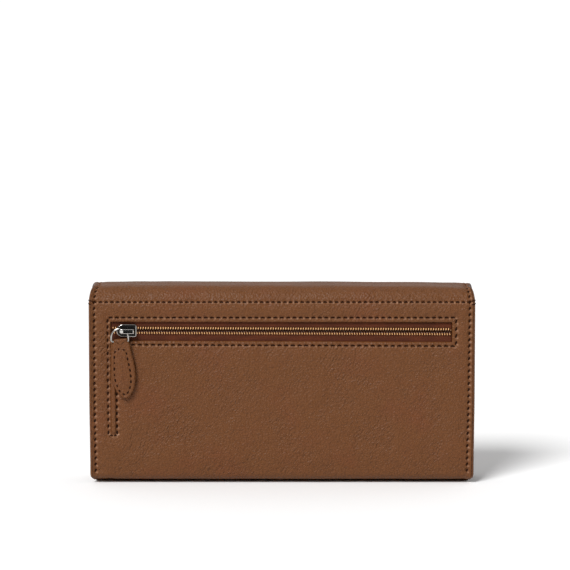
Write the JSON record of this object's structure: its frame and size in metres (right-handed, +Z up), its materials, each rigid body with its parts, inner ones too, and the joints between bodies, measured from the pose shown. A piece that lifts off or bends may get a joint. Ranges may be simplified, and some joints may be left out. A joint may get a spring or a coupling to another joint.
{
  "type": "long wallet",
  "caption": "Long flap-over leather wallet standing on its folded bottom edge, with a zip pocket in the back, a drop-shaped puller, two gusseted compartments and a magnetic snap.",
  "frame": {"origin": "middle of the flat base the wallet stands on", "axes": "+X along the wallet, to the right when the zip side is seen from the front; +Y from the zip side to the flap side; +Z up"},
  "size_m": [0.19, 0.0339, 0.0975],
  "materials": {
    "outer_leather": "fine pebbled grain, satin, brown",
    "inner_leather": "smooth, matt, brown",
    "lining": "woven, matt, dark brown",
    "board": "grey-board stiffener, matt",
    "zip_tape": "woven, matt, red-brown",
    "zip_coil": "nylon coil, golden brown",
    "gunmetal": "polished dark nickel",
    "ring_steel": "polished wire",
    "snap_steel": "nickel plated"
  },
  "bodies": {
    "back": {"back_panel": "outer_leather", "slot_welt": "outer_leather", "bottom_fold": "outer_leather", "back_board": "board", "back_lining": "lining", "zip_tape_upper": "zip_tape", "zip_tape_lower": "zip_tape", "zip_coil_upper": "zip_coil", "zip_coil_lower": "zip_coil", "zip_pocket_bag": "lining", "gusset_rear_left": "inner_leather", "gusset_rear_right": "inner_leather"},
    "flap_top": {"flap_top_leather": "outer_leather", "flap_top_lining": "lining"},
    "flap_front": {"flap_front_leather": "outer_leather", "flap_front_lining": "lining", "flap_stiffener": "board", "snap_stud": "snap_steel", "snap_stud_washer": "snap_steel"},
    "divider": {"divider_rear_leather": "inner_leather", "divider_board": "board", "divider_front_leather": "inner_leather", "gusset_front_left": "inner_leather", "gusset_front_right": "inner_leather"},
    "front": {"front_inner_wall": "inner_leather", "front_board": "board", "card_slot_1": "inner_leather", "card_slot_2": "inner_leather", "card_slot_3": "inner_leather", "front_panel": "outer_leather", "snap_socket": "snap_steel"},
    "slider": {"zip_slider": "gunmetal"},
    "ring": {"pull_ring": "ring_steel"},
    "puller": {"puller_tab": "outer_leather"}
  },
  "joints": [
    {"name": "flap_top_bend", "type": "hinge", "parent": "back", "child": "flap_top", "pos_m": [0, -0.01247, 0.09497], "axis": [1, 0, 0], "range_deg": [0, 180]},
    {"name": "flap_front_bend", "type": "hinge", "parent": "flap_top", "child": "flap_front", "pos_m": [0, 0.01247, 0.09497], "axis": [1, 0, 0], "range_deg": [0, 90]},
    {"name": "divider_fan", "type": "hinge", "parent": "back", "child": "divider", "pos_m": [0, 0.00865, 0.00255], "axis": [-1, 0, 0], "range_deg": [0, 9.5], "deforming": ["gusset_rear_left", "gusset_rear_right"]},
    {"name": "front_fan", "type": "hinge", "parent": "back", "child": "front", "pos_m": [0, 0.00865, 0.00255], "axis": [-1, 0, 0], "range_deg": [0, 19], "deforming": ["gusset_front_left", "gusset_front_right"]},
    {"name": "slider_travel", "type": "slide", "parent": "back", "child": "slider", "axis": [1, 0, 0], "range_m": [0, 0.152]},
    {"name": "ring_swing", "type": "hinge", "parent": "slider", "child": "ring", "pos_m": [-0.07648, -0.01685, 0.0762], "axis": [-0.6548, 0, 0.7558], "range_deg": [0, 90]},
    {"name": "puller_swing", "type": "hinge", "parent": "ring", "child": "puller", "pos_m": [-0.07965, -0.01685, 0.0712], "axis": [-1, 0, 0], "range_deg": [0, 70]}
  ],
  "couplings": [
    {"joint": "flap_front_bend", "follows": "flap_top_bend", "ratio": 0.5},
    {"joint": "divider_fan", "follows": "flap_top_bend", "ratio": 0.0527},
    {"joint": "front_fan", "follows": "flap_top_bend", "ratio": 0.1055}
  ]
}
